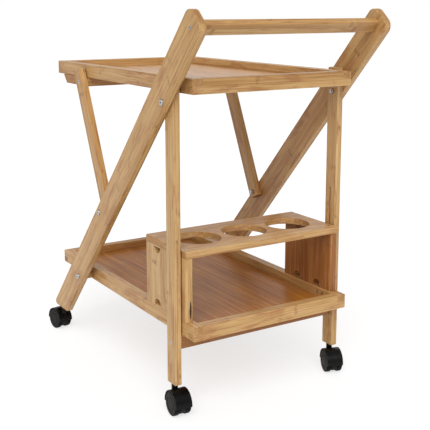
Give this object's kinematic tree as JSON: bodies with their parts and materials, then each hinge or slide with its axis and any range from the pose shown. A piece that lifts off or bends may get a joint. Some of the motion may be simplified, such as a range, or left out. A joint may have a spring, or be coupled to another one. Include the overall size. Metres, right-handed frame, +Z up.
{
  "type": "rolling utility cart",
  "caption": "Two-tier bamboo rolling cart with tray shelves, diagonal legs up to a push handle, a bottle holder board and twin-wheel casters.",
  "frame": {"origin": "middle of the cart's footprint, on the floor", "axes": "+X along the cart towards the push handle, +Y to the right of the person who pushes it, +Z up"},
  "size_m": [0.7318, 0.4768, 0.8002],
  "materials": {
    "bamboo": "laminated bamboo strips, clear satin lacquer",
    "upper_panel_bamboo": "bamboo-faced panel, clear semi-gloss lacquer",
    "lower_panel_bamboo": "darker bamboo-faced panel, clear gloss lacquer",
    "zinc_steel": "bright zinc-plated steel",
    "caster_plastic": "black moulded nylon, fine satin texture",
    "wheel_plastic": "black moulded nylon wheel, satin tread"
  },
  "bodies": {
    "root": {"board_screws": "zinc_steel", "bottle_board": "bamboo", "cross_rail": "bamboo", "crossbar": "bamboo", "crossbar_screws": "zinc_steel", "far_left_caster_stem": "zinc_steel", "far_right_caster_stem": "zinc_steel", "handle": "bamboo", "handle_screws": "zinc_steel", "left_holder_panel": "bamboo", "left_leg": "bamboo", "left_post": "bamboo", "left_strut": "bamboo", "lower_far_rim": "bamboo", "lower_left_rim": "bamboo", "lower_near_rim": "bamboo", "lower_panel": "lower_panel_bamboo", "lower_right_rim": "bamboo", "near_left_caster_stem": "zinc_steel", "near_right_caster_stem": "zinc_steel", "pocket_screws": "zinc_steel", "post_bolts": "zinc_steel", "post_nuts": "zinc_steel", "post_screws": "zinc_steel", "post_washers": "zinc_steel", "rail_screws": "zinc_steel", "rail_tray_screws": "zinc_steel", "right_holder_panel": "bamboo", "right_leg": "bamboo", "right_post": "bamboo", "right_strut": "bamboo", "strut_bolts": "zinc_steel", "strut_nuts": "zinc_steel", "tray_bolts": "zinc_steel", "tray_spacers": "bamboo", "upper_far_rim": "bamboo", "upper_left_rim": "bamboo", "upper_near_rim": "bamboo", "upper_panel": "upper_panel_bamboo", "upper_right_rim": "bamboo"},
    "near_left_swivel": {"near_left_caster_hood": "caster_plastic", "near_left_caster_axle": "zinc_steel"},
    "near_left_left_wheel_body": {"near_left_left_wheel": "wheel_plastic"},
    "near_left_right_wheel_body": {"near_left_right_wheel": "wheel_plastic"},
    "near_right_swivel": {"near_right_caster_hood": "caster_plastic", "near_right_caster_axle": "zinc_steel"},
    "near_right_left_wheel_body": {"near_right_left_wheel": "wheel_plastic"},
    "near_right_right_wheel_body": {"near_right_right_wheel": "wheel_plastic"},
    "far_left_swivel": {"far_left_caster_hood": "caster_plastic", "far_left_caster_axle": "zinc_steel"},
    "far_left_left_wheel_body": {"far_left_left_wheel": "wheel_plastic"},
    "far_left_right_wheel_body": {"far_left_right_wheel": "wheel_plastic"},
    "far_right_swivel": {"far_right_caster_hood": "caster_plastic", "far_right_caster_axle": "zinc_steel"},
    "far_right_left_wheel_body": {"far_right_left_wheel": "wheel_plastic"},
    "far_right_right_wheel_body": {"far_right_right_wheel": "wheel_plastic"}
  },
  "joints": [
    {"name": "near_left_swivel_turn", "type": "hinge", "parent": "root", "child": "near_left_swivel", "pos_m": [0.22727, -0.1995, 0.0585], "axis": [0, 0, 1], "continuous": true},
    {"name": "near_left_left_wheel_spin", "type": "hinge", "parent": "near_left_swivel", "child": "near_left_left_wheel_body", "pos_m": [0.24334, -0.21341, 0.0245], "axis": [0.0698, 0.9976, 0], "continuous": true},
    {"name": "near_left_right_wheel_spin", "type": "hinge", "parent": "near_left_swivel", "child": "near_left_right_wheel_body", "pos_m": [0.24511, -0.18797, 0.0245], "axis": [0.0698, 0.9976, 0], "continuous": true},
    {"name": "near_right_swivel_turn", "type": "hinge", "parent": "root", "child": "near_right_swivel", "pos_m": [0.22727, 0.1995, 0.0585], "axis": [0, 0, 1], "continuous": true},
    {"name": "near_right_left_wheel_spin", "type": "hinge", "parent": "near_right_swivel", "child": "near_right_left_wheel_body", "pos_m": [0.23888, 0.18171, 0.0245], "axis": [0.342, 0.9397, 0], "continuous": true},
    {"name": "near_right_right_wheel_spin", "type": "hinge", "parent": "near_right_swivel", "child": "near_right_right_wheel_body", "pos_m": [0.2476, 0.20567, 0.0245], "axis": [0.342, 0.9397, 0], "continuous": true},
    {"name": "far_left_swivel_turn", "type": "hinge", "parent": "root", "child": "far_left_swivel", "pos_m": [-0.31923, -0.2145, 0.0585], "axis": [0, 0, 1], "continuous": true},
    {"name": "far_left_left_wheel_spin", "type": "hinge", "parent": "far_left_swivel", "child": "far_left_left_wheel_body", "pos_m": [-0.33784, -0.20424, 0.0245], "axis": [0.1392, -0.9903, 0], "continuous": true},
    {"name": "far_left_right_wheel_spin", "type": "hinge", "parent": "far_left_swivel", "child": "far_left_right_wheel_body", "pos_m": [-0.33429, -0.22949, 0.0245], "axis": [0.1392, -0.9903, 0], "continuous": true},
    {"name": "far_right_swivel_turn", "type": "hinge", "parent": "root", "child": "far_right_swivel", "pos_m": [-0.31923, 0.2145, 0.0585], "axis": [0, 0, 1], "continuous": true},
    {"name": "far_right_left_wheel_spin", "type": "hinge", "parent": "far_right_swivel", "child": "far_right_left_wheel_body", "pos_m": [-0.33429, 0.22949, 0.0245], "axis": [-0.1392, -0.9903, 0], "continuous": true},
    {"name": "far_right_right_wheel_spin", "type": "hinge", "parent": "far_right_swivel", "child": "far_right_right_wheel_body", "pos_m": [-0.33784, 0.20424, 0.0245], "axis": [-0.1392, -0.9903, 0], "continuous": true}
  ]
}
